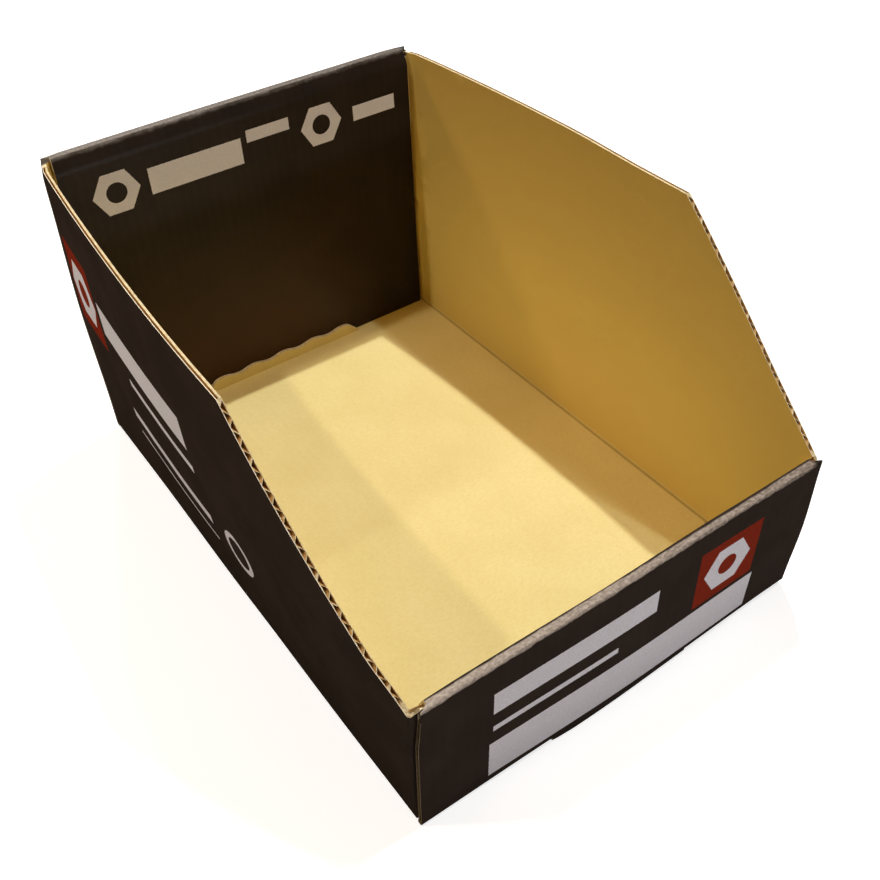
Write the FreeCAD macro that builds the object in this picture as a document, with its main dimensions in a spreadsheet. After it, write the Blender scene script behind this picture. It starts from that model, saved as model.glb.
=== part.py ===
"""Open-fronted stock bin folded from one die-cut sheet of corrugated board.

One sheet makes the whole bin: the floor, two tall side walls whose top edge slopes down to a
low front, and a front and a back panel that roll over at the top and come down again inside.
Each rolled panel traps the flaps of both side walls, and its foot passes through a slot in the
floor, where the strip pushed out of the slot stands up beside it.

Frame: +Z up, +X to the right seen from the open front, +Y to the back, millimetres. The origin
is the bottom centre of the bounding box. Every outline is drawn on the outer liner, which is
the printed face of the board, and the board's thickness is laid on the inner side of it.
"""

import FreeCAD, Part
import math
import os
import Sketcher

V = FreeCAD.Vector
doc = FreeCAD.newDocument("stock_bin")

# ---------------------------------------------------------------- driving sizes in millimetres
SIZES = {
    "board": (2.6, "thickness of the corrugated board"),
    "fold_radius": (1.8, "outer radius of a fold"),
    "width": (250, "outer width at the floor"),
    "length": (366, "outer length at the floor"),
    "wall_height": (196, "underside of the floor to the walls' level top edge"),
    "back_height": (199, "underside of the floor to the top of the back"),
    "front_height": (95, "underside of the floor to the top of the front"),
    "knee_setback": (111, "front of the floor to where the walls' top edge starts to slope"),
    "front_lean": (5, "how far the front's top stands out past its foot"),
    "back_lean": (2.4, "how far the back's top stands in from its foot"),
    "wall_drop": (2, "fall from the rolled front to the front end of the walls' top edge"),
    "corner_drop": (3.5, "fall from the rolled front to the flaps' top edge at the walls' corners"),
    "roll_gap": (0.3, "space between the two layers under a rolled top"),
    "crease_radius": (1.2, "outer radius of the two creases along a rolled top"),
    "clearance": (0.4, "space between layers of board"),
    "inner_width": (240, "width of the panels rolled to the inside"),
    "flare_drop": (11, "rolled top down to where the inner panel has opened round the flaps"),
    "flare_radius": (10, "bend of the inner panel where it has opened"),
    "foot_depth": (10.7, "outer face of a panel to the inner panel's face, at the floor"),
    "flap_length": (60, "reach of a wall's flap behind the front or back panel"),
    "flap_shoulder": (2.2, "fall of a flap's top edge before it goes under the roll"),
    "flap_fall": (4, "fall of a flap's top edge along its covered length"),
    "front_slot": (92, "width of the slot for the front panel's foot"),
    "back_slot": (125, "width of the slot for the back panel's foot"),
    "foot_play": (1.5, "play of a foot in its slot, at each end"),
    "lip_drop": (2.6, "how far a slot's outer lip hangs below the floor"),
    "strip_height": (8.5, "height above the floor of the strip that stands beside a slot"),
    "strip_slant": (8, "the standing strip is this much wider at the floor, at each end"),
    "wave_pitch": (25, "length of one wave of the standing strip's edge"),
    "wave_height": (2, "height of one wave of that edge"),
    "liner": (0.35, "thickness of a liner, at a cut edge"),
    "flute_pitch": (6.2, "one flute and one gap of the medium between the liners"),
    "flute_mouth": (4.5, "width of an open flute, at the liner that closes it"),
    "flute_crest": (1.2, "width of an open flute, at its crest"),
    "flute_depth": (5, "depth of the open flutes, square to the side they open on"),
    "gap_width": (1.1, "width of the gap where an edge is cut along a flute"),
    "gap_depth": (2.5, "depth of that gap"),
    "mid_height": (100, "height of the middle outline of the walls"),
    "left_mid_out": (5.35, "left wall's middle outline: front end, outwards"),
    "left_mid_bow": (8.5, "left wall's middle outline: bow between its ends"),
    "left_top_out": (12.3, "left wall's top outline: front end, outwards"),
    "left_top_bow": (7.4, "left wall's top outline: bow between its ends"),
    "right_mid_out": (1.45, "right wall's middle outline: front end, outwards"),
    "right_mid_bow": (8.2, "right wall's middle outline: bow between its ends"),
    "right_top_out": (-1.4, "right wall's top outline: front end, outwards"),
    "right_top_bow": (9.2, "right wall's top outline: bow between its ends"),
}

sheet = doc.addObject("Spreadsheet::Sheet", "Sizes")
for row, (alias, (number, meaning)) in enumerate(SIZES.items(), start=1):
    sheet.set(f"A{row}", meaning)
    sheet.set(f"B{row}", str(number))
    sheet.setAlias(f"B{row}", alias)
doc.recompute()

# Formulas used in several places. ROLL is half a rolled top's depth. The walls begin one layer
# above the floor's underside, where the fold's inner side has become straight, and the slots
# are cut as high.
FOLD = "Sizes.fold_radius"
ROLL = "(Sizes.board + Sizes.roll_gap / 2)"
LAYER = "(Sizes.board + Sizes.clearance)"
CREASE = "Sizes.crease_radius"
STRIP_FACE = "(Sizes.foot_depth + Sizes.clearance)"
WALL_FALL = "(Sizes.wall_height - Sizes.front_height + Sizes.wall_drop)"
BELOW_PANEL = ("-Sizes.board", LAYER)
ABOVE = "(Sizes.back_height + Sizes.board)"
FRONT = "(-Sizes.length / 2)"
BACK = "(Sizes.length / 2)"
FRONT_SLOPE = "(-Sizes.front_lean / Sizes.front_height)"
BACK_SLOPE = "(-Sizes.back_lean / Sizes.back_height)"


def mm(formula):
    """The number that a formula in the sheet's sizes gives now."""
    return float(sheet.evalExpression(formula))


# ---------------------------------------------------------------- sketching
# Drawing planes as (direction of the sketch's x, direction of its y).
SIDE_VIEW = (V(0, 1, 0), V(0, 0, 1))
FRONT_VIEW = (V(1, 0, 0), V(0, 0, 1))
PLAN = (V(1, 0, 0), V(0, 1, 0))


def new_sketch(name, plane, height=None):
    """An empty sketch on a plane through the origin, or in plan at a height."""
    sketch = doc.addObject("Sketcher::SketchObject", name)
    across, up = plane
    sketch.Placement = FreeCAD.Placement(V(), FreeCAD.Rotation(across, up, across.cross(up), "ZXY"))
    if height:
        sketch.setExpression("Placement.Base.z", height)
    return sketch


def dimension(sketch, kind, targets, formula):
    """A dimension whose value is a formula in the sheet's sizes."""
    index = sketch.addConstraint(Sketcher.Constraint(kind, *targets, mm(formula)))
    sketch.setExpression(f"Constraints[{index}]", formula)


def place(sketch, curve, point, across=None, up=None):
    """Dimension one point of a curve from the origin: 1 is its start, 2 its end, 3 its centre."""
    if across:
        dimension(sketch, "DistanceX", (-1, 1, curve, point), across)
    if up:
        dimension(sketch, "DistanceY", (-1, 1, curve, point), up)


def line(sketch, start, end):
    """A line between two places that are given as pairs of formulas."""
    ends = [V(mm(across), mm(up), 0) for across, up in (start, end)]
    return sketch.addGeometry(Part.LineSegment(*ends), False)


def arc(sketch, centre, radius, first_angle, last_angle):
    """An arc, anticlockwise between two angles in degrees, with its radius dimensioned."""
    middle = V(mm(centre[0]), mm(centre[1]), 0)
    circle = Part.Circle(middle, V(0, 0, 1), mm(radius))
    angles = (math.radians(first_angle), math.radians(last_angle))
    curve = sketch.addGeometry(Part.ArcOfCircle(circle, *angles), False)
    dimension(sketch, "Radius", (curve,), radius)
    return curve


def guide(sketch, across, up, curve):
    """A construction point at a place, which the curve or its extension passes through."""
    point = sketch.addGeometry(Part.Point(V(mm(across), mm(up), 0)), True)
    place(sketch, point, 1, across, up)
    sketch.addConstraint(Sketcher.Constraint("PointOnObject", point, 1, curve))


def run_on(sketch, curves):
    """Join curves end to end in this order, each tangent to the next."""
    for one, other in zip(curves, curves[1:]):
        pairs = [(sketch.getPoint(one, a).distanceToPoint(sketch.getPoint(other, b)), a, b)
                 for a in (1, 2) for b in (1, 2)]
        a, b = min(pairs)[1:]
        sketch.addConstraint(Sketcher.Constraint("Tangent", one, a, other, b))


def outline(name, plane, corners, height=None):
    """A closed outline of straight lines, each corner given as a pair of formulas."""
    sketch = new_sketch(name, plane, height)
    sides = [line(sketch, corner, after) for corner, after in zip(corners, corners[1:] + corners[:1])]
    for side, after in zip(sides, sides[1:] + sides[:1]):
        sketch.addConstraint(Sketcher.Constraint("Coincident", side, 2, after, 1))
    for side, corner in zip(sides, corners):
        place(sketch, side, 1, *corner)
    return sketch


# ---------------------------------------------------------------- operations
def board_on(sketch):
    """Lay the board's thickness on the left of an open outline, as its first curve runs."""
    face = doc.addObject("Part::Offset2D", sketch.Name + "_section")
    face.Source = sketch
    face.Mode = "Skin"
    face.Join = "Intersection"
    face.Fill = True
    # The offset takes a plane's normal along +X, +Y or +Z, so a view from the front swaps sides.
    seen_from_front = sketch.Placement.Rotation.multVec(V(0, 0, 1)).y < -0.5
    face.setExpression("Value", "Sizes.board" if seen_from_front else "-Sizes.board")
    return face


def extrude(profile, name, direction, length, backwards="0"):
    """Extrude a sketch or a section both ways along a direction."""
    solid = doc.addObject("Part::Extrusion", name)
    solid.Base = profile
    solid.DirMode = "Custom"
    solid.Dir = direction
    solid.Solid = True
    solid.setExpression("LengthFwd", length)
    solid.setExpression("LengthRev", backwards)
    return solid


def both_ways(profile, name, direction, length):
    """Extrude half of a length each way."""
    return extrude(profile, name, direction, f"({length}) / 2", f"({length}) / 2")


def box(name, across, along, up):
    """A box between pairs of formulas on X, Y and Z."""
    solid = doc.addObject("Part::Box", name)
    for side, axis, (low, high) in zip(("Length", "Width", "Height"), "xyz", (across, along, up)):
        solid.setExpression(f"Placement.Base.{axis}", low)
        solid.setExpression(side, f"({high}) - ({low})")
    return solid


def fuse(name, solids):
    whole = doc.addObject("Part::MultiFuse", name)
    whole.Shapes = solids
    return whole


def cut(name, base, tools):
    """Take tools away from a base."""
    rest = doc.addObject("Part::Cut", name)
    rest.Base = base
    rest.Tool = tools[0] if len(tools) == 1 else fuse(name + "_tools", tools)
    return rest


def upturn(name, plane, edge, inwards, crest):
    """A short length of floor that folds up at an edge, and runs on straight to a crest."""
    sketch = new_sketch(name, plane)
    rises_first = inwards == 1
    start = f"({edge} + {inwards} * {FOLD})"
    root = f"({start} + {inwards} * Sizes.board)"
    floor = line(sketch, *((at, "0") for at in ((start, root) if rises_first else (root, start))))
    fold = arc(sketch, (start, FOLD), FOLD, *((180, 270) if rises_first else (270, 360)))
    face = line(sketch, (edge, FOLD), (edge, crest))
    run_on(sketch, [floor, fold, face])
    place(sketch, fold, 3, start, FOLD)
    place(sketch, floor, 2 if rises_first else 1, root, "0")
    place(sketch, face, 2, up=crest)
    sketch.addConstraint(Sketcher.Constraint("Vertical", face))
    return board_on(sketch)


# ---------------------------------------------------------------- ends and sides of the bin
class End:
    """What differs between the front end and the back end of the bin."""

    def __init__(self, name, inwards, foot, slope, height, shoulder, slot):
        self.name = name
        self.inwards = inwards
        self.foot = foot
        self.slope = slope
        self.height = height
        self.shoulder = shoulder
        self.slot = slot
        self.top = f"({foot} + {slope} * {height})"
        # The middle of the rolled top, where the panel's outer half meets its inner half.
        self.roll_middle = f"({self.top} + {inwards} * {ROLL})"

    def depth(self, amount, height="0"):
        """A place along Y, so far in from the panel's outer face at a height."""
        return f"({self.foot} + {self.slope} * {height} + {self.inwards} * {amount})"


ENDS = [
    End("front", 1, FRONT, FRONT_SLOPE, "Sizes.front_height",
        "(Sizes.front_height - Sizes.corner_drop)", "Sizes.front_slot"),
    End("back", -1, BACK, BACK_SLOPE, "Sizes.back_height", "Sizes.wall_height", "Sizes.back_slot"),
]


class Side:
    """What differs between the left wall and the right wall."""

    def __init__(self, name, outwards):
        self.name = name
        self.outwards = outwards
        self.floor_edge = f"({outwards} * Sizes.width / 2)"

    def inside(self, amount):
        """A place along X, so far in from the floor's edge."""
        return f"({self.floor_edge} - {self.outwards} * {amount})"


SIDES = [Side("left", -1), Side("right", 1)]


# ---------------------------------------------------------------- floor with its outer panels
def outer_strip():
    """Floor, front fold and back fold, outer panels, and the outer half of each roll."""
    sketch = new_sketch("floor_line", SIDE_VIEW)
    floor = line(sketch, *((end.depth(FOLD), "0") for end in ENDS))
    sketch.addConstraint(Sketcher.Constraint("Horizontal", floor))
    sketch.addConstraint(Sketcher.Constraint("PointOnObject", floor, 1, -1))
    angles = {"front": ((180, 270), (90, 180)), "back": ((270, 360), (0, 90))}
    for end in ENDS:
        fold_angles, crease_angles = angles[end.name]
        level = f"{end.height} - {CREASE}"
        fold = arc(sketch, (end.depth(FOLD), FOLD), FOLD, *fold_angles)
        face = line(sketch, (end.foot, FOLD), (end.top, level))
        crease = arc(sketch, (end.depth(CREASE, end.height), level), CREASE, *crease_angles)
        flat = line(sketch, (end.depth(CREASE, end.height), end.height),
                    (end.roll_middle, end.height))
        run_on(sketch, [floor, fold, face, crease, flat])
        guide(sketch, end.foot, "0", face)
        guide(sketch, end.depth("0", end.height), end.height, face)
        sketch.addConstraint(Sketcher.Constraint("Horizontal", flat))
        place(sketch, flat, 2, end.roll_middle, end.height)
    return both_ways(board_on(sketch), "outer_strip", V(1, 0, 0), "Sizes.width")


# ---------------------------------------------------------------- inner panels
def inner_panel(end):
    """Inner half of the roll, then the panel opening round the flaps and down to its foot."""
    sketch = new_sketch(end.name + "_inner_line", SIDE_VIEW)
    ahead = end.inwards == 1
    flare_height = f"({end.height} - Sizes.flare_drop)"
    opening = end.depth(f"3 * {LAYER}", flare_height)
    flare_centre = (f"{opening} - {end.inwards} * Sizes.flare_radius", flare_height)
    crease_centre = (f"{end.roll_middle} + {end.inwards} * ({ROLL} - {CREASE})",
                     f"{end.height} - {CREASE}")
    flat_ends = [(end.roll_middle, end.height), (crease_centre[0], end.height)]
    flat = line(sketch, *(reversed(flat_ends) if ahead else flat_ends))
    crease = arc(sketch, crease_centre, CREASE, *((0, 90) if ahead else (90, 180)))
    flare = arc(sketch, flare_centre, "Sizes.flare_radius", *((2, 15) if ahead else (165, 178)))
    above = line(sketch, (f"{end.roll_middle} + {end.inwards} * {ROLL}", crease_centre[1]),
                 (opening, f"{flare_height} + Sizes.board"))
    foot = (end.depth("Sizes.foot_depth"), "0")
    below = line(sketch, (opening, flare_height), foot)
    run_on(sketch, [flat, crease, above, flare, below])
    sketch.addConstraint(Sketcher.Constraint("Horizontal", flat))
    place(sketch, flat, 2 if ahead else 1, end.roll_middle, end.height)
    place(sketch, crease, 3, across=crease_centre[0])
    place(sketch, flare, 3, *flare_centre)
    place(sketch, below, 2, *foot)
    panel = both_ways(board_on(sketch), end.name + "_panel", V(1, 0, 0), "Sizes.inner_width")

    # Only the foot goes through the floor; beside it the panel stops just above the board.
    near, far = end.depth("Sizes.board"), end.depth("(Sizes.foot_depth + Sizes.board)")
    along = (near, far) if ahead else (far, near)
    foot_half = f"({end.slot} / 2 - Sizes.foot_play)"
    panel_half = "(Sizes.inner_width / 2 + Sizes.board)"
    shoulders = [
        box(end.name + "_left_shoulder", (f"-{panel_half}", f"-{foot_half}"), along, BELOW_PANEL),
        box(end.name + "_right_shoulder", (foot_half, panel_half), along, BELOW_PANEL),
    ]
    return cut(end.name + "_inner_panel", panel, shoulders)


def roll_taper(side, end):
    """The rolled top narrows from the panel's full width to the inner panel's width."""
    bend = f"({end.top} + {end.inwards} * Sizes.clearance)"
    inner = f"({side.outwards} * Sizes.inner_width / 2)"
    outside = side.inside("-Sizes.board")
    corners = [(side.floor_edge, bend), (inner, end.roll_middle), (outside, end.roll_middle),
               (outside, bend)]
    name = f"{side.name}_{end.name}_taper"
    wedge = outline(name, PLAN, corners, f"{end.height} - {ROLL}")
    return extrude(wedge, name + "_cut", V(0, 0, 1), LAYER)


# ---------------------------------------------------------------- slots, lips and standing strips
def slot_cut(end):
    """The length of fold and floor that a slot takes away."""
    outside = end.depth("-Sizes.board")
    root = end.depth(f"({STRIP_FACE} + {FOLD})")
    along = (outside, root) if end.inwards == 1 else (root, outside)
    across = (f"-{end.slot} / 2", f"{end.slot} / 2")
    return box(end.name + "_slot", across, along, ("-Sizes.board", LAYER))


def hanging_lip(end):
    """Where the fold is cut for the slot, the panel runs on below the floor as a lip."""
    low, high = "(-Sizes.lip_drop)", LAYER
    inner = f"Sizes.board * sqrt(1 + {end.slope} ^ 2)"
    corners = [(end.depth(amount, height), height)
               for amount, height in (("0", low), ("0", high), (inner, high), (inner, low))]
    profile = outline(end.name + "_lip_outline", SIDE_VIEW, corners)
    return both_ways(profile, end.name + "_lip", V(1, 0, 0), end.slot)


def standing_strip(end):
    """The strip pushed out of the slot stands up against the foot; its edge is cut wavy."""
    crest = "(Sizes.board + Sizes.strip_height)"
    profile = upturn(end.name + "_strip_line", SIDE_VIEW, end.depth(STRIP_FACE), end.inwards, crest)
    blank = both_ways(profile, end.name + "_strip_blank", V(1, 0, 0), end.slot)

    # The wavy crest is an odd number of equal arcs, which bulge up and down in turn.
    half, low = f"({end.slot} / 2)", "-Sizes.board"
    shelf = f"({half} - Sizes.strip_slant)"
    count = 2 * int(mm(f"2 * {shelf} / Sizes.wave_pitch")) + 1
    level = f"({crest} - Sizes.wave_height / 2)"
    chord = f"(2 * {shelf} / {count})"
    rise = "(Sizes.wave_height / 2)"
    bend = f"(({chord} ^ 2 / 4 + {rise} ^ 2) / (2 * {rise}))"
    shape = new_sketch(end.name + "_strip_outline", FRONT_VIEW)
    nodes = [(f"-{shelf} + {step} * {chord}", level) for step in range(count + 1)]
    edge_line = [(shelf, level), (half, "Sizes.board"), (half, low),
                 (f"-{half}", low), (f"-{half}", "Sizes.board"), (f"-{shelf}", level)]
    for step, (start_node, end_node) in enumerate(zip(nodes, nodes[1:])):
        upward = 1 if step % 2 == 0 else -1
        ends = [V(mm(across), mm(up), 0) for across, up in (start_node, end_node)]
        middle = (ends[0] + ends[1]) / 2 + V(0, upward * mm(rise), 0)
        wave = shape.addGeometry(Part.Arc(ends[0], middle, ends[1]), False)
        dimension(shape, "Radius", (wave,), bend)
        first, last = (2, 1) if upward == 1 else (1, 2)
        place(shape, wave, first, *start_node)
        place(shape, wave, last, *end_node)
    sides = [line(shape, one, other) for one, other in zip(edge_line, edge_line[1:])]
    for side_line, (one, other) in zip(sides, zip(edge_line, edge_line[1:])):
        place(shape, side_line, 1, *one)
        place(shape, side_line, 2, *other)
    profile = extrude(shape, end.name + "_strip_shape", V(0, 1, 0), BACK, BACK)
    wavy = doc.addObject("Part::Common", end.name + "_strip")
    wavy.Base = blank
    wavy.Tool = profile
    return wavy


# ---------------------------------------------------------------- side walls
def wall_outline(side, level, height, out="0", bow=None):
    """Plan of a wall's outer face at one height: flap, corner, bowed wall, corner, flap."""
    sketch = new_sketch(f"{side.name}_{level}_line", PLAN, height)
    front, back = (end.depth(LAYER, height) for end in ENDS)
    edge, sign = side.floor_edge, side.outwards
    start = side.inside(f"(-({out}))")
    flap_end = side.inside("Sizes.flap_length")
    front_corner = (f"{start} - {sign} * {FOLD}", f"{front} + {FOLD}")
    back_corner = (side.inside(FOLD), f"{back} - {FOLD}")
    left = sign == -1
    flap_ends = [(flap_end, front), (front_corner[0], front)]
    front_flap = line(sketch, *(reversed(flap_ends) if left else flap_ends))
    front_fold = arc(sketch, front_corner, FOLD, *((180, 270) if left else (270, 360)))
    ends = [(start, front_corner[1]), (edge, back_corner[1])]
    if bow:
        middle = f"{edge} + {sign} * ({out} / 2 + {bow})"
        bend = Part.Arc(*(V(mm(across), mm(along), 0) for across, along in
                          (ends[0], (middle, "0"), ends[1])))
        wall = sketch.addGeometry(bend, False)
    else:
        wall = line(sketch, *ends)
    back_fold = arc(sketch, back_corner, FOLD, *((90, 180) if left else (0, 90)))
    back_flap = line(sketch, (back_corner[0], back), (flap_end, back))
    run_on(sketch, [front_flap, front_fold, wall, back_fold, back_flap])
    if bow:
        for across, along in ((start, FRONT), (middle, "0"), (edge, BACK)):
            guide(sketch, across, along, wall)
    else:
        place(sketch, wall, 1, across=edge)
        sketch.addConstraint(Sketcher.Constraint("Vertical", wall))
    for flap, outer_end, along in ((front_flap, 2 if left else 1, front), (back_flap, 2, back)):
        sketch.addConstraint(Sketcher.Constraint("Horizontal", flap))
        place(sketch, flap, outer_end, flap_end, along)
    return board_on(sketch)


def bulge(side, level, along):
    """How far one outline of a wall stands out past the floor's edge, at a place along Y."""
    share = f"(({BACK} - ({along})) / Sizes.length)"
    out, bow = f"Sizes.{side.name}_{level}_out", f"Sizes.{side.name}_{level}_bow"
    return f"({out} * {share} + 4 * {bow} * {share} * (1 - {share}))"


def wall_face(side, along, height):
    """A wall's outer face along X: the parabola in height through its three outlines."""
    low, middle, top = LAYER, "Sizes.mid_height", "Sizes.wall_height"
    up, down = f"({height} - {low})", f"({top} - {height})"
    middle_share = f"({up} * {down} / (({middle} - {low}) * ({top} - {middle})))"
    top_share = f"({up} * ({height} - {middle}) / (({top} - {low}) * ({top} - {middle})))"
    middle_out, top_out = (bulge(side, level, along) for level in ("mid", "top"))
    return side.inside(f"(-{middle_out} * {middle_share} - {top_out} * {top_share})")


def flute(side, liner, mouth_at, crest_at):
    """One open flute at the origin: a trapezium closed by a liner, running along Y."""
    half_mouth, half_crest = "Sizes.flute_mouth / 2", "Sizes.flute_crest / 2"
    mouth_at, crest_at = (f"-({side.outwards}) * {at}" for at in (mouth_at, crest_at))
    corners = [(mouth_at, f"-{half_mouth}"), (crest_at, f"-{half_crest}"),
               (crest_at, half_crest), (mouth_at, half_mouth)]
    name = f"{side.name}_{liner}_flute"
    profile = outline(name + "_outline", FRONT_VIEW, corners)
    # It reaches past the sloping cut in front, by as much as the slope rises over its mouth.
    ahead = f"({WALL_FALL} * Sizes.flute_mouth / Sizes.knee_setback)"
    return extrude(profile, name, V(0, 1, 0), f"Sizes.flute_depth + {ahead}", ahead)


def open_flutes(side):
    """The flutes that the sloping edge opens, half a pitch apart, against each liner in turn."""
    outer, inner = "Sizes.liner", "(Sizes.board - Sizes.liner)"
    by_liner = [flute(side, "outer", outer, inner), flute(side, "inner", inner, outer)]
    flutes = []
    for step in range(1, int(mm(f"2 * {WALL_FALL} / Sizes.flute_pitch"))):
        fall = f"({step} * Sizes.flute_pitch / 2)"
        height = f"(Sizes.wall_height - {fall})"
        along = f"({FRONT} + Sizes.knee_setback * (1 - {fall} / {WALL_FALL}))"
        opening = doc.addObject("App::Link", f"{side.name}_flute_{step}")
        opening.LinkedObject = by_liner[step % 2]
        here, further = (wall_face(side, f"({along}{on})", height) for on in ("", " + Sizes.flute_depth"))
        opening.setExpression("Placement.Base.x", here)
        opening.setExpression("Placement.Base.y", along)
        opening.setExpression("Placement.Base.z", height)
        # Each flute turns about Z to run along the bowed wall.
        opening.setExpression("Placement.Rotation.Angle", f"atan(({here} - {further}) / Sizes.flute_depth)")
        flutes.append(opening)
    return flutes


def top_gap(side):
    """The gap along a wall's level top edge, where the cut runs along one flute."""
    sketch = new_sketch(side.name + "_gap_outline", PLAN, "Sizes.wall_height")
    front, back = f"({FRONT} + Sizes.knee_setback)", ENDS[1].depth(f"(3 * {LAYER})")
    middle = f"(({front} + {back}) / 2)"
    rims = []
    for inset in ("Sizes.liner", "(Sizes.liner + Sizes.gap_width)"):
        rim = [(side.inside(f"({inset} - {bulge(side, 'top', along)})"), along)
               for along in (front, middle, back)]
        curve = sketch.addGeometry(Part.Arc(*(V(mm(x), mm(y), 0) for x, y in rim)), False)
        guide(sketch, *rim[1], curve)
        starts_in_front = sketch.getPoint(curve, 1).y < sketch.getPoint(curve, 2).y
        for end_of_arc, corner in zip((1, 2) if starts_in_front else (2, 1), (rim[0], rim[2])):
            place(sketch, curve, end_of_arc, *corner)
        rims.append(rim)
    for outer, inner in zip(rims[0][::2], rims[1][::2]):
        side_line = line(sketch, outer, inner)
        place(sketch, side_line, 1, *outer)
        place(sketch, side_line, 2, *inner)
    return extrude(sketch, side.name + "_gap", V(0, 0, -1), "Sizes.gap_depth", "Sizes.clearance")


def panel_gap(side, end):
    """The gap along an outer panel's upright cut edge, where the cut runs along one flute."""
    low, high = LAYER, f"({end.height} - {LAYER})"
    corners = [(end.depth(inset, height), height) for inset, height in
               (("Sizes.liner", low), ("Sizes.liner", high),
                ("(Sizes.liner + Sizes.gap_width)", high), ("(Sizes.liner + Sizes.gap_width)", low))]
    name = f"{side.name}_{end.name}_gap"
    profile = outline(name + "_outline", SIDE_VIEW, corners)
    edge = (side.inside("Sizes.gap_depth"), side.inside("-Sizes.board"))
    low_edge, high_edge = edge if side.outwards == 1 else edge[::-1]
    return extrude(profile, name, V(1, 0, 0), high_edge, f"-{low_edge}")


def wall_height_cut():
    """Everything above the walls' top edge: level at the back, then sloping to the front."""
    knee = f"{FRONT} + Sizes.knee_setback"
    # The slope runs on past the front for as far again.
    ahead, behind = f"{FRONT} - Sizes.knee_setback", f"{BACK} + Sizes.knee_setback"
    corners = [(ahead, f"Sizes.wall_height - 2 * {WALL_FALL}"), (knee, "Sizes.wall_height"),
               (behind, "Sizes.wall_height"), (behind, ABOVE), (ahead, ABOVE)]
    above_walls = outline("above_walls", SIDE_VIEW, corners)
    return both_ways(above_walls, "above_walls_cut", V(1, 0, 0), "Sizes.width * 2")


def flap_cut(side, end):
    """Everything above one flap's top edge, which falls away under the roll."""
    ahead = end.inwards == 1
    # The front corner stands out with the middle outline, in proportion to its height.
    out = f"Sizes.{side.name}_mid_out * {end.shoulder} / Sizes.mid_height" if ahead else "0"
    corner = side.inside(f"({FOLD} - {out})")
    cover = f"({side.outwards} * (Sizes.inner_width / 2 + Sizes.clearance))"
    tip = side.inside("(Sizes.flap_length + Sizes.board)")
    under = f"({end.height} - Sizes.flare_drop - Sizes.clearance)"
    middle = (f"({corner} + {cover}) / 2", f"{end.shoulder} - Sizes.flap_shoulder")
    corners = [(corner, ABOVE), (corner, end.shoulder), middle, (cover, under),
               (tip, f"{under} - Sizes.flap_fall"), (tip, ABOVE)]
    name = f"above_{side.name}_{end.name}_flap"
    profile = outline(name, FRONT_VIEW, corners)
    inner = end.depth(f"({LAYER} + Sizes.board)", end.height)
    outer = end.depth("(-Sizes.board)", end.height)
    near, far = (outer, inner) if ahead else (inner, outer)
    return extrude(profile, name + "_cut", V(0, 1, 0), far, f"-({near})")


def side_wall(side):
    """A bowed wall with its two flaps, lofted through three outlines and cut to height."""
    outlines = [
        wall_outline(side, "low", LAYER),
        wall_outline(side, "middle", "Sizes.mid_height",
                     f"Sizes.{side.name}_mid_out", f"Sizes.{side.name}_mid_bow"),
        wall_outline(side, "top", "Sizes.wall_height",
                     f"Sizes.{side.name}_top_out", f"Sizes.{side.name}_top_bow"),
    ]
    blank = doc.addObject("Part::Loft", side.name + "_wall_blank")
    blank.Sections = outlines
    blank.Solid = True
    tools = [above_walls, top_gap(side)] + [flap_cut(side, end) for end in ENDS] + open_flutes(side)
    return cut(side.name + "_wall", blank, tools)


def side_fold(side):
    """The fold between the floor and a wall, from one corner of the wall to the other."""
    profile = upturn(side.name + "_fold_line", FRONT_VIEW, side.floor_edge, -side.outwards, LAYER)
    front, back = (end.depth(f"({LAYER} + {FOLD})", LAYER) for end in ENDS)
    return extrude(profile, side.name + "_fold", V(0, 1, 0), back, f"-{front}")


def floor_trim(side):
    """The floor stops where a wall's fold begins, and leaves a small notch by each end fold."""
    edges = (side.inside(FOLD), side.inside("-Sizes.board"))
    across = edges if side.outwards == 1 else edges[::-1]
    along = tuple(end.depth(LAYER) for end in ENDS)
    return box(side.name + "_floor_trim", across, along, ("-Sizes.board", LAYER))


# ---------------------------------------------------------------- the folded sheet
above_walls = wall_height_cut()
floor_cuts = [slot_cut(end) for end in ENDS] + [floor_trim(side) for side in SIDES]
edge_cuts = [shape(side, end) for shape in (roll_taper, panel_gap) for side in SIDES for end in ENDS]
pieces = [cut("floor_strip", outer_strip(), floor_cuts + edge_cuts)]
for end in ENDS:
    pieces += [inner_panel(end), hanging_lip(end), standing_strip(end)]
for side in SIDES:
    pieces += [side_wall(side), side_fold(side)]
bin_sheet = fuse("bin", pieces)
bin_sheet.Refine = True
doc.recompute()

# The sheet stands on its lips with the middle of its bounding box over the origin.
bounds = bin_sheet.Shape.optimalBoundingBox(False)
bin_sheet.Placement = FreeCAD.Placement(V(-bounds.Center.x, -bounds.Center.y, -bounds.ZMin),
                                        FreeCAD.Rotation())
doc.recompute()

faults = [thing.Label for thing in doc.Objects if {"Invalid", "Error"} & set(thing.State)]
if faults:
    raise RuntimeError(f"these did not build: {faults}")
if bin_sheet.Shape.isNull() or not bin_sheet.Shape.isValid() or len(bin_sheet.Shape.Solids) != 1:
    raise RuntimeError("the folded sheet is not one valid solid")

os.makedirs("parts", exist_ok=True)
bin_sheet.Shape.exportStep("parts/bin.step")
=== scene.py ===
"""Looks of an open-fronted stock bin, die-cut and folded from one sheet of corrugated board."""

import math

import bpy
from mathutils import Matrix, Vector
from mathutils.bvhtree import BVHTree


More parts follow.
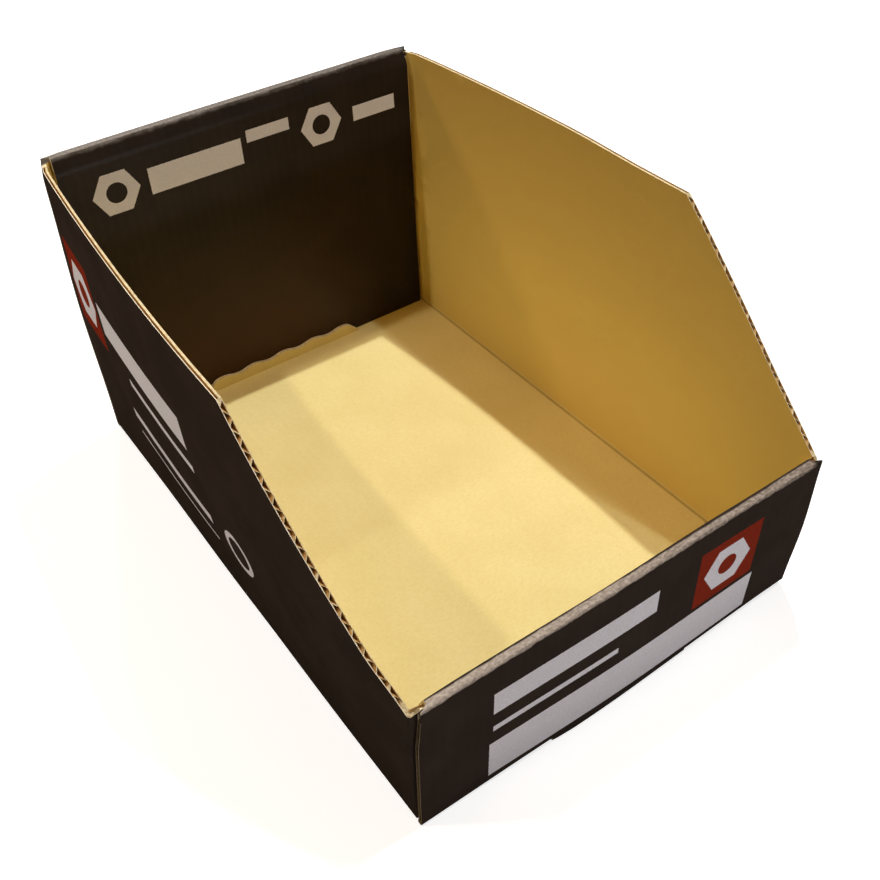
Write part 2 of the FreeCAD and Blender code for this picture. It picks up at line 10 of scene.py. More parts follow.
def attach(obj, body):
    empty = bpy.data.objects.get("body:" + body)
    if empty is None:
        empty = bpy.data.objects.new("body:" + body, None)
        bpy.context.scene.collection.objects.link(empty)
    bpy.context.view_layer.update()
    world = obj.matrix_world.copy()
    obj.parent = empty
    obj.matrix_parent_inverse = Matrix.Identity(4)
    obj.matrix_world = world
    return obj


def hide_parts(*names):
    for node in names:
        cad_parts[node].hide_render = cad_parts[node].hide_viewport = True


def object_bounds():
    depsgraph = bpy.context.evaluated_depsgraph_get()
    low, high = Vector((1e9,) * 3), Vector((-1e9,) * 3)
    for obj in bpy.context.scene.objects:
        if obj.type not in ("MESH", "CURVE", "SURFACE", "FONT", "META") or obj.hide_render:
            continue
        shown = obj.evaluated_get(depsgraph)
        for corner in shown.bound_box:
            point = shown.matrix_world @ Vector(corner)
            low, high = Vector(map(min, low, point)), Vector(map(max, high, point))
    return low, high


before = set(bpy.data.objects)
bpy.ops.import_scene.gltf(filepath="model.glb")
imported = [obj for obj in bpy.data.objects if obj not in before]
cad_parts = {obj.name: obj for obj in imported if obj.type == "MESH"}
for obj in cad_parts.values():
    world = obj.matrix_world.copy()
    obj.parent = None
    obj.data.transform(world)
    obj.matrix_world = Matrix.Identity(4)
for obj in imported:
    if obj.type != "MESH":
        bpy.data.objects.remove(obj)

cad_low, cad_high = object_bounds()

MM = 0.001

# Sizes of the folded sheet in millimetres, counted from the middle of the floor's underside:
# X across to the right wall, Y along to the back, Z up.
FLOOR_MIDDLE = Vector((2.477, 2.453, 2.6))
BOARD = 2.6
FLUTE_PITCH = 6.2
FLUTE_GAP = 4.6
WIDTH = 250
INNER_WIDTH = 240
LENGTH = 366
FRONT_HEIGHT = 95
FRONT_LEAN = 5
BACK_HEIGHT = 199
BACK_LEAN = 2.4
ROLL_DEPTH = 6
STRIP_TOP = 14
STRIP_DEPTH = 13.5
STRIP_END = 100
# The walls' tops are level from the back to a knee, and slope from there to their front ends.
WALL_HEIGHT = 196
WALL_FRONT_HEIGHT = 93
KNEE_SETBACK = 111
WALL_SLOPE = (WALL_HEIGHT - WALL_FRONT_HEIGHT) / KNEE_SETBACK


# ---------------------------------------------------------------- small tools
def linear(hex_colour):
    """An sRGB colour such as "c8a070" as linear red, green, blue and alpha."""
    levels = [int(hex_colour[i:i + 2], 16) / 255 for i in (0, 2, 4)]
    return [v / 12.92 if v <= 0.04045 else ((v + 0.055) / 1.055) ** 2.4 for v in levels] + [1]


def add(material, kind, settings):
    """Add a shader node to a material or a world.

    A setting is a property, an input's value, or a node or an output to link to an input.
    """
    node = material.node_tree.nodes.new("ShaderNode" + kind)
    for name, value in settings.items():
        named = [socket for socket in node.inputs if socket.enabled and socket.name == name]
        if isinstance(name, str) and not named:
            setattr(node, name, value)
            continue
        socket = named[0] if named else node.inputs[name]
        if isinstance(value, bpy.types.Node):
            value = next(output for output in value.outputs if output.enabled)
        if isinstance(value, bpy.types.NodeSocket):
            material.node_tree.links.new(value, socket)
        else:
            socket.default_value = linear(value) if isinstance(value, str) else value
    return node


def paper(name, roughness, specular):
    """A new material, its shader, and the place on the bin in millimetres."""
    material = bpy.data.materials.new(name)
    material.use_nodes = True
    shader = material.node_tree.nodes["Principled BSDF"]
    shader.inputs["Roughness"].default_value = roughness
    shader.inputs["Specular IOR Level"].default_value = specular
    place = add(material, "TexCoord", {}).outputs["Object"]
    return material, shader, add(material, "Mapping", {
        "Vector": place, "Location": -FLOOR_MIDDLE, "Scale": (1 / MM, 1 / MM, 1 / MM)})


def finish(material, shader, colour, relief, relief_depth):
    """Give a material its colour, and a relief of so many millimetres."""
    bump = add(material, "Bump", {"Height": relief, "Distance": relief_depth * MM})
    material.node_tree.links.new(colour.outputs[2], shader.inputs["Base Color"])
    material.node_tree.links.new(bump.outputs["Normal"], shader.inputs["Normal"])
    return material


def mottle(material, spot, size, low=0.3, high=0.7, stretch=(1, 1, 1), detail=2):
    """Cloudy patches of a size in millimetres: 0 below one level of the noise, 1 above the other."""
    stretched = add(material, "VectorMath", {"operation": "DIVIDE", 0: spot, 1: stretch})
    noise = add(material, "TexNoise", {"Vector": stretched, "Scale": 1 / size, "Detail": detail})
    return add(material, "MapRange", {"interpolation_type": "SMOOTHSTEP", "Value": noise,
                                      "From Min": low, "From Max": high})


# The paper's grain is its fibres, a few hundredths of a millimetre wide. That is too fine to show, so it
# is drawn as coarse as it needs to show.
GRAIN = 0.9
# A wave texture of scale 1 repeats at this distance.
WAVE_REPEAT = math.pi / 10


def ribs(material, spot, axis, rib_height):
    """The liner's slight ridges over the flutes' crests, at the flutes' pitch, with the grain on them."""
    wave = add(material, "TexWave", {"bands_direction": axis, "Vector": spot,
                                     "Scale": WAVE_REPEAT / FLUTE_PITCH, "Distortion": 0.6,
                                     "Detail Scale": 0.1})
    grain = mottle(material, spot, GRAIN, 0.3, 0.75)
    crest = add(material, "Math", {"operation": "MULTIPLY", 0: wave.outputs["Fac"], 1: grain})
    relief = add(material, "Math", {"operation": "MULTIPLY_ADD", 0: wave.outputs["Fac"],
                                    1: rib_height, 2: grain})
    return crest, relief


# ---------------------------------------------------------------- print
# Flexo ink creeps along the fibres at the edge of a shape, by about this much. It does so fibre by fibre,
# which is drawn as coarse as the grain. The coat's clouds come from the run of the paper.
INK_SPREAD = 0.2
FEATHER = 0.8
COAT_CLOUD = 30


def shape_edge(material, spot, shape, middle, size):
    """How far a place lies outside a bar, a hexagon or a disc, in millimetres."""
    away = add(material, "VectorMath", {"operation": "SUBTRACT", 0: spot, 1: (*middle, 0)})
    away = add(material, "VectorMath", {"operation": "ABSOLUTE", 0: away})
    if shape == "bar":
        past = add(material, "VectorMath", {"operation": "SUBTRACT", 0: away,
                                            1: (size[0] / 2, size[1] / 2, 0)})
        sides = add(material, "SeparateXYZ", {0: past}).outputs
        return add(material, "Math", {"operation": "MAXIMUM", 0: sides["X"], 1: sides["Y"]})
    if shape == "hexagon":
        across = [add(material, "VectorMath", {"operation": "DOT_PRODUCT", 0: away, 1: normal})
                  for normal in ((math.cos(math.pi / 6), 0.5, 0), (0, 1, 0))]
        far = add(material, "Math", {"operation": "MAXIMUM", 0: across[0], 1: across[1]})
    else:
        far = add(material, "VectorMath", {"operation": "LENGTH", 0: away})
    return add(material, "Math", {"operation": "SUBTRACT", 0: far, 1: size / 2})


def print_mask(material, spot, shapes):
    """Where any of these shapes is printed. A shape may have a hole: another shape in it."""
    printed = None
    for shape, middle, size, *hole in shapes:
        edge = shape_edge(material, spot, shape, middle, size)
        if hole:
            inner = shape_edge(material, spot, hole[0], middle, hole[1])
            inner = add(material, "Math", {"operation": "MULTIPLY", 0: inner, 1: -1})
            edge = add(material, "Math", {"operation": "MAXIMUM", 0: edge, 1: inner})
        printed = add(material, "Math", {"operation": "MINIMUM", 0: edge, 1: printed}) if printed else edge
    feather = mottle(material, spot, FEATHER)
    ragged = add(material, "Math", {"operation": "MULTIPLY_ADD", 0: feather, 1: INK_SPREAD, 2: printed})
    return add(material, "MapRange", {"interpolation_type": "SMOOTHSTEP", "Value": ragged,
                                      "From Min": INK_SPREAD, "From Max": 0})


# The grey band along a rolled top, partly worn liner and partly a painted sheen, in millimetres: how far
# its edges wander in height and in depth, how far below its top it starts and is full, how much it narrows
# for each millimetre to the right, how far from the right end it starts and is full, and how large its
# flecks are. The flecks are tufts of fibres, drawn coarser than they are.
WANDER_SIZE, WANDER_HEIGHT, WANDER_DEPTH = 6, 1.2, 0.4
BAND_START, BAND_FULL = 2.0, 1.0
NARROWING = 0.0045
END_START, END_FULL = 3.5, 6.5
FLECK = 1.3


def worn_and_sheen_band(material, spot, sides, colour, top, depths, tones):
    """A grey band along a rolled top: cracked liner whose fibres show, and a painted sheen; wider and paler
    to the left.
    """
    wander = mottle(material, spot, WANDER_SIZE, 0.25, 0.75)
    height = add(material, "VectorMath", {"operation": "DOT_PRODUCT", 0: spot, 1: (-NARROWING, 0, 1)})
    height = add(material, "Math", {"operation": "MULTIPLY_ADD", 0: wander, 1: WANDER_HEIGHT, 2: height})
    height = add(material, "MapRange", {"interpolation_type": "SMOOTHSTEP", "Value": height,
                                        "From Min": top - BAND_START, "From Max": top - BAND_FULL})
    depth = add(material, "Math", {"operation": "MULTIPLY_ADD", 0: wander, 1: WANDER_DEPTH, 2: sides["Y"]})
    depth = add(material, "MapRange", {"interpolation_type": "SMOOTHSTEP", "Value": depth,
                                       "From Min": depths[0], "From Max": depths[1]})
    band = add(material, "Math", {"operation": "MULTIPLY", 0: height, 1: depth})
    right_end = add(material, "MapRange", {"Value": sides["X"], "From Min": WIDTH / 2 - END_START,
                                           "From Max": WIDTH / 2 - END_FULL})
    band = add(material, "Math", {"operation": "MULTIPLY", 0: band, 1: right_end})
    flecks = mottle(material, spot, FLECK, 0.35, 0.7, stretch=(1.6, 1, 1), detail=4)
    flecks = add(material, "MapRange", {"Value": flecks, "To Max": 0.6})
    light = add(material, "MapRange", {"Value": sides["X"], "From Min": WIDTH / 2,
                                       "From Max": -WIDTH / 2, "To Max": 0.5})
    light = add(material, "Math", {"operation": "ADD", 0: light, 1: flecks})
    tone = add(material, "Mix", {"data_type": "RGBA", "Factor": light, "A": tones[0], "B": tones[1]})
    return add(material, "Mix", {"data_type": "RGBA", "Factor": band, "A": colour, "B": tone})


# Light bounced off the lit floor is painted into the coat at the foot of the back: browner below one
# height and more so below the other, and less and less between these two places across.
BOUNCE_BELOW, BOUNCE_MOST = 130, 40
BOUNCE_RIGHT, BOUNCE_LEFT = 90, 20


def printed_liner(name, plane, rib_axis, ink=("342c27", "3a312c"), pale=(), red=(), roll_wear_and_sheen=None,
                  painted_bounce=None, gloss=0):
    """Bleached liner with a flood coat of water-based flexo ink, left bare where a shape is pale.

    The coat is a brown black and quite matt, cloudy, and a little thin over the flutes.
    """
    material, shader, spot = paper("flexo_print_" + name, 0.4, gloss)
    sides = add(material, "SeparateXYZ", {0: spot}).outputs
    flat = add(material, "CombineXYZ", {0: sides[plane[0]], 1: sides[plane[1]]})
    crest, relief = ribs(material, spot, rib_axis, 0.3)
    clouds = mottle(material, spot, COAT_CLOUD)
    grain = mottle(material, spot, GRAIN, 0.3, 0.75)
    colour = add(material, "Mix", {"data_type": "RGBA", "Factor": clouds, "A": ink[0], "B": ink[1]})
    thin = add(material, "MapRange", {"Value": crest, "To Max": 0.08})
    colour = add(material, "Mix", {"data_type": "RGBA", "Factor": thin, "A": colour, "B": "4e443c"})
    # Painted bounced light: the coat browns low down and to the left, where the lit floor lies before it.
    if painted_bounce:
        low_down = add(material, "MapRange", {"Value": sides["Z"], "From Min": BOUNCE_BELOW,
                                              "From Max": BOUNCE_MOST})
        share = add(material, "MapRange", {"Value": sides["X"], "From Min": BOUNCE_RIGHT,
                                           "From Max": BOUNCE_LEFT})
        share = add(material, "Math", {"operation": "MULTIPLY", 0: share, 1: low_down})
        colour = add(material, "Mix", {"data_type": "RGBA", "Factor": share, "A": colour, "B": painted_bounce})
    for shapes, tones in ((red, ("802c1d", "8e3422")), (pale, ("dddbe2", "e8e7ee"))):
        if shapes:
            tone = add(material, "Mix", {"data_type": "RGBA", "Factor": grain, "A": tones[0],
                                         "B": tones[1]})
            colour = add(material, "Mix", {"data_type": "RGBA", "A": colour, "B": tone,
                                           "Factor": print_mask(material, flat, shapes)})
    # The grey band along a rolled top: cracked liner and a painted sheen.
    if roll_wear_and_sheen:
        colour = worn_and_sheen_band(material, spot, sides, colour, *roll_wear_and_sheen)
    return finish(material, shader, colour, relief, 0.03)


# ---------------------------------------------------------------- bare paper
# Kraft paper has clouds a few centimetres across. Its fibres, a few hundredths of a millimetre wide, and
# its specks of bark are drawn as coarse as they need to show, and so are the fibres of a torn edge.
KRAFT_CLOUD, KRAFT_FIBRE, BARK_SPECK = 45, 1.2, 1.1
EDGE_FIBRE, MEDIUM_FIBRE = 0.8, 1
# The walls' deeper tone, a painted shade, comes in between these two heights, out from this far across, and
# a painted shade greys the walls from the third height up.
WALL_SHADE_START, WALL_SHADE_FULL, TOP_SHADE_START = 3, 6, 90
WALL_SHADE_ACROSS = 115
# The score along a wall's foot darkens from this far away, and is darkest this near.
FOOT_LINE_START, FOOT_LINE_FULL = 1.6, 0.4
# The bleached liner is this share of the board's thickness, and blends into the rest up to the first.
LINER_END, LINER_FULL = 0.20, 0.14
DEPTH_NAME = "depth_in_board"


def kraft_liner():
    """Unbleached kraft liner from a paper machine: matt, warm, with fibre clouds and dark specks."""
    material, shader, spot = paper("unbleached_kraft_liner", 0.9, 0.15)
    clouds = mottle(material, spot, KRAFT_CLOUD, detail=3)
    fibres = mottle(material, spot, KRAFT_FIBRE, 0.2, 0.8, stretch=(2.5, 1, 1), detail=4)
    relief = ribs(material, spot, "X", 0.5)[1]
    colour = add(material, "Mix", {"data_type": "RGBA", "Factor": clouds, "A": "e6d694", "B": "ebdc9c"})
    share = add(material, "MapRange", {"Value": fibres, "To Max": 0.3})
    colour = add(material, "Mix", {"data_type": "RGBA", "Factor": share, "A": colour, "B": "d9bb74"})
    specks = mottle(material, spot, BARK_SPECK, 0.76, 0.80, detail=0)
    share = add(material, "MapRange", {"Value": specks, "To Max": 0.12})
    colour = add(material, "Mix", {"data_type": "RGBA", "Factor": share, "A": colour, "B": "a8793a"})
    # The walls' liner is drawn a deeper tone than the floor's and its standing strips': painted shade.
    height = add(material, "SeparateXYZ", {0: spot}).outputs["Z"]
    aside = add(material, "VectorMath", {"operation": "ABSOLUTE", 0: spot})
    aside = add(material, "SeparateXYZ", {0: aside}).outputs["X"]
    aside = add(material, "MapRange", {"Value": aside, "From Min": STRIP_END,
                                       "From Max": WALL_SHADE_ACROSS, "To Max": 0.9})
    wall = add(material, "MapRange", {"Value": height, "From Min": WALL_SHADE_START,
                                      "From Max": WALL_SHADE_FULL})
    wall = add(material, "Math", {"operation": "MULTIPLY", 0: wall, 1: aside})
    colour = add(material, "Mix", {"data_type": "RGBA", "Factor": wall, "A": colour, "B": "e2c571"})
    # Towards their tops it is greyer still: painted shade, where less light bounces up from the floor.
    top = add(material, "MapRange", {"Value": height, "From Min": TOP_SHADE_START,
                                     "From Max": WALL_HEIGHT})
    colour = add(material, "Mix", {"data_type": "RGBA", "Factor": top, "A": colour, "B": "cdb165"})
    # Along the score at each wall's foot the colour darkens to a faint dark line.
    foot = add(material, "VectorMath", {"operation": "ABSOLUTE", 0: spot})
    foot = add(material, "VectorMath", {"operation": "SUBTRACT", 0: foot,
                                        1: (WIDTH / 2 - BOARD, 0, BOARD)})
    foot = add(material, "VectorMath", {"operation": "MULTIPLY", 0: foot, 1: (1, 0, 1)})
    foot = add(material, "VectorMath", {"operation": "LENGTH", 0: foot})
    foot_line = add(material, "MapRange", {"interpolation_type": "SMOOTHSTEP", "Value": foot, "To Max": 0.4,
                                        "From Min": FOOT_LINE_START, "From Max": FOOT_LINE_FULL})
    colour = add(material, "Mix", {"data_type": "RGBA", "Factor": foot_line, "A": colour, "B": "8a5f22"})
    return finish(material, shader, colour, relief, 0.05)


def cut_board_edge(name, liner_tones, board_tones):
    """Die-cut board edge: a paler line of bleached liner outside, then torn kraft fibres."""
    material, shader, spot = paper(name, 0.95, 0.1)
    fibres = mottle(material, spot, EDGE_FIBRE, stretch=(1, 4, 1), detail=3)
    depth = add(material, "Attribute", {"attribute_name": DEPTH_NAME}).outputs["Fac"]
    bleached = add(material, "MapRange", {"Value": depth, "From Min": LINER_END,
                                          "From Max": LINER_FULL})
    tones = [add(material, "Mix", {"data_type": "RGBA", "Factor": fibres, "A": pair[0], "B": pair[1]})
             for pair in (board_tones, liner_tones)]
    colour = add(material, "Mix", {"data_type": "RGBA", "Factor": bleached, "A": tones[0], "B": tones[1]})
    return finish(material, shader, colour, fibres, 0.1)


def fluting_medium():
    """Semi-chemical fluting medium: the brown, rough paper wave between the liners."""
    material, shader, spot = paper("fluting_medium", 0.95, 0.1)
    fibres = mottle(material, spot, MEDIUM_FIBRE, detail=3)
    colour = add(material, "Mix", {"data_type": "RGBA", "Factor": fibres, "A": "b8925a", "B": "cda86c"})
    return finish(material, shader, colour, fibres, 0.1)


# ---------------------------------------------------------------- the board
sheet = bpy.data.objects.new("folded_board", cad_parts["bin"].data.copy())
bpy.context.scene.collection.objects.link(sheet)
sheet.data.materials.clear()
bpy.ops.object.select_all(action="DESELECT")
bpy.context.view_layer.objects.active = sheet
sheet.select_set(True)
bpy.ops.object.mode_set(mode="EDIT")
bpy.ops.mesh.select_all(action="SELECT")
bpy.ops.mesh.remove_doubles(threshold=0.002 * MM)
bpy.ops.mesh.dissolve_limited(angle_limit=math.radians(0.1))
# Cuts across the flat faces, so many millimetres apart, let the board bend smoothly.
GRID = 10
for axis in range(3):
    first, last = (math.ceil(end[axis] / MM / GRID) for end in (cad_low, cad_high))
    for step in range(first, last):
        normal = Vector((0, 0, 0))
        normal[axis] = 1
        bpy.ops.mesh.select_all(action="SELECT")
        bpy.ops.mesh.bisect(plane_co=normal * step * GRID * MM, plane_no=normal)
bpy.ops.object.mode_set(mode="OBJECT")

# A printed shape is what it is, its middle and its size in millimetres, and then its hole, if it has one.
FINISHES = {
    "front": printed_liner(
        "front", ("X", "Z"), "X",
        pale=[("bar", (2.3, 18.9), (176.5, 28.2)), ("bar", (-34, 65), (100, 16)),
              ("bar", (-46, 45), (76, 4)), ("hexagon", (66, 57), 29, "disc", 13)],
        red=[("bar", (66, 57), (44, 42))],
        # On the front's roll the band is cracked liner with a painted sheen.
        roll_wear_and_sheen=(FRONT_HEIGHT + 0.85, (-183.5, -184.4), ("756a60", "bcb1a6"))),
    "wall": printed_liner(
        "wall", ("Y", "Z"), "Z",
        pale=[("bar", (56, 128), (120, 22)), ("bar", (40, 103), (88, 5)),
              ("hexagon", (146, 128), 36, "disc", 17), ("disc", (-36, 66), 28, "disc", 20),
              ("bar", (50, 66), (110, 7)), ("bar", (50, 50), (110, 2))],
        red=[("bar", (146, 128), (46, 56))]),
    "back": printed_liner(
        # The inner back's coat is drawn darker than the same ink outside: painted shade.
        "back", ("X", "Z"), "X", ("241c17", "2b221c"),
        pale=[("hexagon", (-88, 168), 26, "disc", 13), ("hexagon", (52, 168), 26, "disc", 13),
              ("bar", (-36, 168), (62, 17)), ("bar", (14, 176), (30, 8)), ("bar", (92, 168), (32, 10))],
        # On the back's roll the grey band is a painted sheen.
        # The browner coat low on the back is painted light bounced off the floor.
        roll_wear_and_sheen=(BACK_HEIGHT - 1, (174.4, 176), ("625a53", "918a82")), painted_bounce="3d2817", gloss=0.14),
    "plain": printed_liner("plain", ("X", "Z"), "X"),
    "kraft": kraft_liner(),
    "cut": cut_board_edge("die_cut_board_edge", ("ece2c4", "f8f1dc"), ("ccb686", "eee0b8")),
    # The upright cut edges of the outer panels stand in the gaps at the corners;
    # their darker tones are painted shade.
    "shaded_edge": cut_board_edge("board_edge_in_painted_shade", ("8f8268", "a3967a"), ("54472f", "70614a")),
    "medium": fluting_medium(),
}
for material in FINISHES.values():
    sheet.data.materials.append(material)

# What tells the sides of the sheet apart, in millimetres.
FLAP_X = INNER_WIDTH / 2 + 1        # the flaps and the walls lie further out than this
WALL_X = INNER_WIDTH / 2 + 3        # and the walls' own edges further than this
PANEL_DEPTH = BOARD + 0.4           # the outer panels lie nearer to their outside than this
OUTSIDE_DEPTH = 0.8                 # and their outer sides nearer than this
FLAP_DEPTH = 4.5                    # the flaps' outer sides lie nearer than this
WALL_END_DEPTH = 12                 # and so do the walls' outer ends
ROLL_DROP = 4                       # the rolls reach this far down from their tops
FLAP_DROP = 12                      # the flaps' tops lie this far down at most
EDGE_DROP = 8                       # and the walls' cut edges this far
UNDER_FLOOR = -0.2                  # what lies lower is the lips' and the floor's underside
ACROSS_BIN = 60                     # what faces something nearer than this is not in the open
CLEARANCE = 0.02                    # a line of sight starts this far off its face
# A face looks one way when its normal has this share in it.
MOSTLY = 0.7


def reach(origin, direction):
    """How far it is from a place to the board along a direction, in millimetres."""
    hit, where, _, _ = sheet.ray_cast(origin, direction, distance=1)
    return (where - origin).length / MM if hit else 1000


def finish_of(face):
    """Which side of the sheet a face belongs to, by where it lies and what lies behind it."""
    at, normal = face.center / MM - FLOOR_MIDDLE, face.normal
    end, height = ("front", FRONT_HEIGHT) if at.y < 0 else ("back", BACK_HEIGHT)
    lean = -FRONT_LEAN if at.y < 0 else BACK_LEAN
    depth = LENGTH / 2 - lean * at.z / height - abs(at.y)
    facing_out = normal.y * at.y > 0
    sideways = math.copysign(normal.x, normal.x * at.x)
    at_side = abs(at.x) > FLAP_X
    in_panel = depth < PANEL_DEPTH
    behind = reach(face.center - normal * CLEARANCE * MM, -normal)
    ahead = reach(face.center + normal * CLEARANCE * MM, normal)
    # Inside the flutes.
    if ahead < FLUTE_GAP and behind < BOARD * 0.75:
        # Flutes open in the outer panels' upright edges take the painted-shade edge.
        return "shaded_edge" if at_side and in_panel and at.z < height - ROLL_DROP else "medium"
    # The walls' cut tops, and the flutes that open in them.
    top = min(WALL_HEIGHT, WALL_HEIGHT - WALL_SLOPE * (KNEE_SETBACK - LENGTH / 2 - at.y))
    if (abs(at.x) > WALL_X and depth > ROLL_DEPTH and abs(normal.x) < MOSTLY
            and at.z > top - EDGE_DROP):
        return "cut" if normal.z > 0.3 else "medium"
    # The flaps' cut tops, and the folds between the flaps and the walls.
    if at_side and not in_panel and at.z > height - FLAP_DROP and normal.z > 0.6:
        return "cut"
    if (at_side and not in_panel and normal.z < 0.6
            and (sideways > 0.1 or (facing_out and depth < WALL_END_DEPTH))):
        return "wall" if sideways > MOSTLY else "plain"
    # The rolled tops and the outer panels.
    if at.z > height - ROLL_DROP and depth < ROLL_DEPTH and normal.z > -0.2 and abs(normal.x) < MOSTLY:
        return end
    if depth < OUTSIDE_DEPTH and facing_out and at.z < height:
        return end if end == "front" else "plain"
    if at.z < UNDER_FLOOR:
        return "plain"
    # More board behind a face than one sheet is thick means that it is a cut edge.
    if behind > BOARD * 1.6:
        # Upright cut edges at the sides take the painted-shade edge.
        return "shaded_edge" if sideways > MOSTLY and at_side else "cut"
    if normal.z < -0.5:
        return "plain"
    if abs(normal.x) > MOSTLY:
        return "wall" if sideways > 0 else "kraft"
    if normal.z > MOSTLY:
        return "kraft"
    if facing_out:
        on_flap = depth < FLAP_DEPTH and (abs(at.x) > INNER_WIDTH / 2 or at.z < height - FLAP_DROP)
        return "plain" if on_flap else "kraft"
    if ahead < ACROSS_BIN or abs(at.x) > INNER_WIDTH / 2 or (at.z < STRIP_TOP and depth > STRIP_DEPTH):
        return "kraft"
    return end if end == "back" else "plain"


names = list(FINISHES)
for face in sheet.data.polygons:
    face.material_index = names.index(finish_of(face))

# How deep each corner lies in the board, from 0 on the printed side to 1 on the kraft side.
corners = [corner.co.copy() for corner in sheet.data.vertices]
by_side = {"printed": [], "kraft": []}
for face in sheet.data.polygons:
    name = names[face.material_index]
    if name not in ("cut", "shaded_edge", "medium"):
        by_side["kraft" if name == "kraft" else "printed"].append(list(face.vertices))
trees = {side: BVHTree.FromPolygons(corners, faces) for side, faces in by_side.items()}
depths = sheet.data.attributes.new(DEPTH_NAME, "FLOAT", "POINT")
for number, corner in enumerate(corners):
    printed, kraft = (trees[side].find_nearest(corner)[3] for side in ("printed", "kraft"))
    depths.data[number].value = printed / max(printed + kraft, 0.01 * MM)


# ---------------------------------------------------------------- how the folded board springs
def select_corners(wanted):
    """Select the corners that are wanted, and nothing else."""
    for part in (sheet.data.vertices, sheet.data.edges, sheet.data.polygons):
        part.foreach_set("select", [False] * len(part))
    for corner in sheet.data.vertices:
        corner.select = wanted(corner)


def push(place, move, radius, within=((-1000, -1000, -1000), (1000, 1000, 1000))):
    """Push the board at a place, in millimetres; the board around it follows, less and less.

    Only what lies within the box follows.
    """
    centre = (FLOOR_MIDDLE + Vector(place)) * MM
    low, high = (FLOOR_MIDDLE + Vector(corner) for corner in within)
    select_corners(lambda corner: all(low[axis] <= corner.co[axis] / MM <= high[axis] for axis in range(3)))
    nearest = min((corner.co - centre).length for corner in sheet.data.vertices if corner.select)
    bpy.ops.object.mode_set(mode="EDIT")
    bpy.ops.mesh.hide(unselected=True)
    bpy.ops.object.mode_set(mode="OBJECT")
    select_corners(lambda corner: not corner.hide and (corner.co - centre).length < nearest + 0.5 * MM)
    bpy.ops.object.mode_set(mode="EDIT")
    bpy.ops.transform.translate(value=Vector(move) * MM, use_proportional_edit=True,
                                proportional_edit_falloff="SMOOTH", proportional_size=radius * MM)
    bpy.ops.mesh.reveal(select=False)
    bpy.ops.object.mode_set(mode="OBJECT")


# The lip under the front tapers away to the right, and starts with a slant on the left.
LIP = ((-47, -190, -3), (47, -175, -0.05))
push((46, -184.4, -2.6), (0, 0, 2.3), 85, LIP)
push((-46, -184.4, -2.6), (0, 0, 1.7), 7, LIP)
# The trapped flap's top stays level up to the front's rolled top, and its thin inner rim is no higher.
FLAP_TOP = ((-127.4, -184.7, 83), (-118.8, -182.3, 91.6))
FLAP_RIM = ((-127.3, -182.5, 91.9), (-118.8, -182.0, 93.8))
push((-119, -183.5, 83.5), (0, 0, 8.4), 9, FLAP_TOP)
push((-123, -182.3, 93), (0, 0, -1.6), 1000, FLAP_RIM)
# Folded board springs back a little: its long edges bulge between the corners that hold it.
for place, move, radius in (
        ((-5, -183, 0), (0, -2.6, 0), 130),             # the front's foot bows out
        ((45, -184, 92), (0, 0.6, 0.6), 75),            # its top bows in
        ((125, -185, 95), (0.3, 0, 1.8), 60),           # and stands higher at the right end
        ((-125, -184, 0), (0, -0.3, -2.4), 95),         # its left foot stands lower
        ((125, -185, 48), (1.0, -0.9, 0), 48),          # and its right end bellies out
        ((-125, 0, 3), (-1.0, 0, 0), 120),              # the left wall's foot bows out
        ((-125, -100, 3), (-1.0, 0, 0), 80),            # and more so near the front
        ((-125, 182, 95), (-1.4, 0.6, 0), 85),          # the fold behind it bellies out
        ((-125, 80, 196), (0.9, 0, -1.3), 150),         # the left wall's top sags inwards
        ((123, -35, 196), (0, 0, -0.9), 55),            # the right wall's top sags before its knee
        ((-129, -182, 92), (1.8, -0.4, 0), 30),         # the front's left top corner is drawn in
        ((-128, 182, 198), (1.8, 0, -0.5), 14),         # and so are the back's two top corners
        ((128, 182, 198), (-1.0, 0, -1.0), 14)):
    push(place, move, radius)

bpy.ops.object.shade_smooth_by_angle(angle=math.radians(30))
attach(sheet, "root")
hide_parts("bin")

# ---------------------------------------------------------------- studio
# The floor and the backdrop are one white sheet; seen directly it glows, so only shadows show on it.
# Beyond the shadows, from so many metres out, it glows fully and its far end can't be seen.
NEAR_GLOW, NEAR_END, FAR_START = 0.8, 0.5, 1.2
seamless_paper = bpy.data.materials.new("white_seamless_paper")
seamless_paper.use_nodes = True
shader = seamless_paper.node_tree.nodes["Principled BSDF"]
shader.inputs["Base Color"].default_value = (0.6, 0.6, 0.6, 1)
shader.inputs["Roughness"].default_value = 1
shader.inputs["Specular IOR Level"].default_value = 0
shader.inputs["Emission Color"].default_value = (1, 1, 1, 1)
rays = add(seamless_paper, "LightPath", {}).outputs
seen = add(seamless_paper, "Math", {"operation": "MAXIMUM", 0: rays["Is Camera Ray"],
                                    1: rays["Is Glossy Ray"]})
seen = add(seamless_paper, "Math", {"operation": "MAXIMUM", 0: seen, 1: rays["Is Transmission Ray"]})
place = add(seamless_paper, "TexCoord", {}).outputs["Object"]
away = add(seamless_paper, "VectorMath", {"operation": "LENGTH", 0: place})
glow = add(seamless_paper, "MapRange", {"interpolation_type": "SMOOTHSTEP", "Value": away,
                                        "From Min": NEAR_END, "From Max": FAR_START,
                                        "To Min": NEAR_GLOW})
glow = add(seamless_paper, "Math", {"operation": "MULTIPLY", 0: seen, 1: glow})
seamless_paper.node_tree.links.new(glow.outputs["Value"], shader.inputs["Emission Strength"])

bpy.ops.object.select_all(action="DESELECT")
bpy.ops.mesh.primitive_plane_add(size=8)
floor = bpy.context.object
floor.name = "studio_floor"
floor.data.materials.append(seamless_paper)

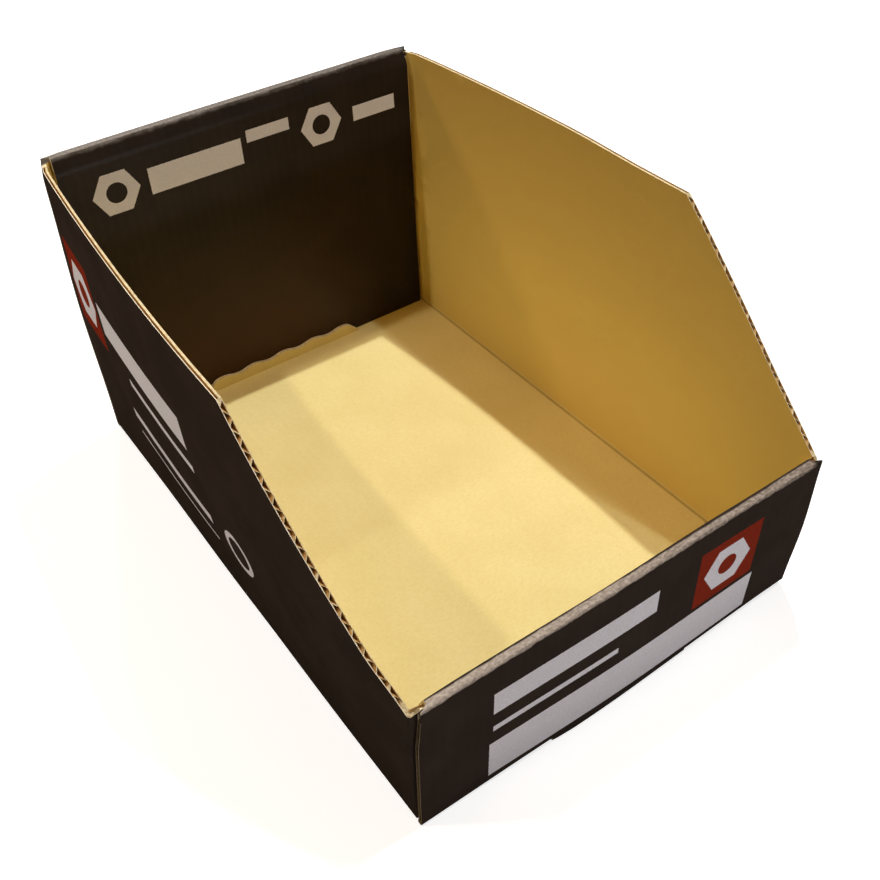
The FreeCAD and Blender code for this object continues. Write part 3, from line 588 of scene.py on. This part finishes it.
# The room is dim and warm, but the backdrop that the camera sees past the floor is white.
ROOM_GLOW = 0.04
world = bpy.data.worlds.new("studio")
bpy.context.scene.world = world
world.use_nodes = True
seen = add(world, "LightPath", {}).outputs["Is Camera Ray"]
colour = add(world, "Mix", {"data_type": "RGBA", "Factor": seen, "A": "ffb878", "B": "ffffff"})
strength = add(world, "MapRange", {"Value": seen, "To Min": ROOM_GLOW})
background = world.node_tree.nodes["Background"]
world.node_tree.links.new(colour.outputs[2], background.inputs["Color"])
world.node_tree.links.new(strength.outputs["Result"], background.inputs["Strength"])


def softbox(name, place, size, energy, colour="ffffff"):
    """A soft lamp of a width and a depth, at a place in metres, turned to the bin."""
    lamp = bpy.data.lights.new(name, "AREA")
    lamp.shape = "ELLIPSE"
    lamp.size, lamp.size_y = size
    lamp.energy = energy
    lamp.color = linear(colour)[:3]
    holder = bpy.data.objects.new(name, lamp)
    bpy.context.scene.collection.objects.link(holder)
    holder.location = place
    holder.rotation_euler = Vector(place).to_track_quat("Z", "Y").to_euler()


# The small lamps throw the walls' shadows on the floor, and the large ones and the fills lighten them.
softbox("overhead_lamp", (0.53, 0.335, 1.70), (0.035, 0.035), 19.5, "f2f8ff")
softbox("front_lamp", (0.53, -0.30, 1.70), (0.06, 0.06), 5.5, "f2f8ff")
softbox("left_lamp", (-0.89, 0.26, 1.50), (0.07, 0.05), 6, "fff4e0")
softbox("back_right_lamp", (0.38, 1.43, 1.50), (0.07, 0.05), 4.5, "e8f4ff")
softbox("ceiling_lamp", (0, 0, 2.50), (1.5, 1.5), 11, "ffc472")
softbox("back_left_lamp", (-1.55, 1.26, 1.50), (0.25, 0.25), 6, "ffd8a0")
softbox("left_fill", (-2.0, 0.9, 0.05), (0.2, 0.2), 5)
softbox("front_fill", (0.1, -0.8, 0.02), (0.1, 0.02), 0.9)

# ---------------------------------------------------------------- camera
AZIMUTH, ELEVATION, ROLL = (math.radians(angle) for angle in (-33.537, 41.770, -2.8))
AIM = Vector((42.57, 36.32, 2.6)) * MM
DISTANCE = 714.56 * MM
towards = Vector((math.sin(AZIMUTH) * math.cos(ELEVATION), -math.cos(AZIMUTH) * math.cos(ELEVATION),
                  math.sin(ELEVATION)))
level = Vector((0, 0, 1)).cross(towards).normalized()
turn = Matrix((level, towards.cross(level), towards)).transposed() @ Matrix.Rotation(ROLL, 3, "Z")
camera_data = bpy.data.cameras.new("camera")
camera_data.lens = 44.139
camera_data.sensor_width = 36
camera = bpy.data.objects.new("camera", camera_data)
camera.matrix_world = Matrix.Translation(AIM + towards * DISTANCE) @ turn.to_4x4()
bpy.context.scene.collection.objects.link(camera)
bpy.context.scene.camera = camera

bpy.context.scene.view_settings.view_transform = "Standard"
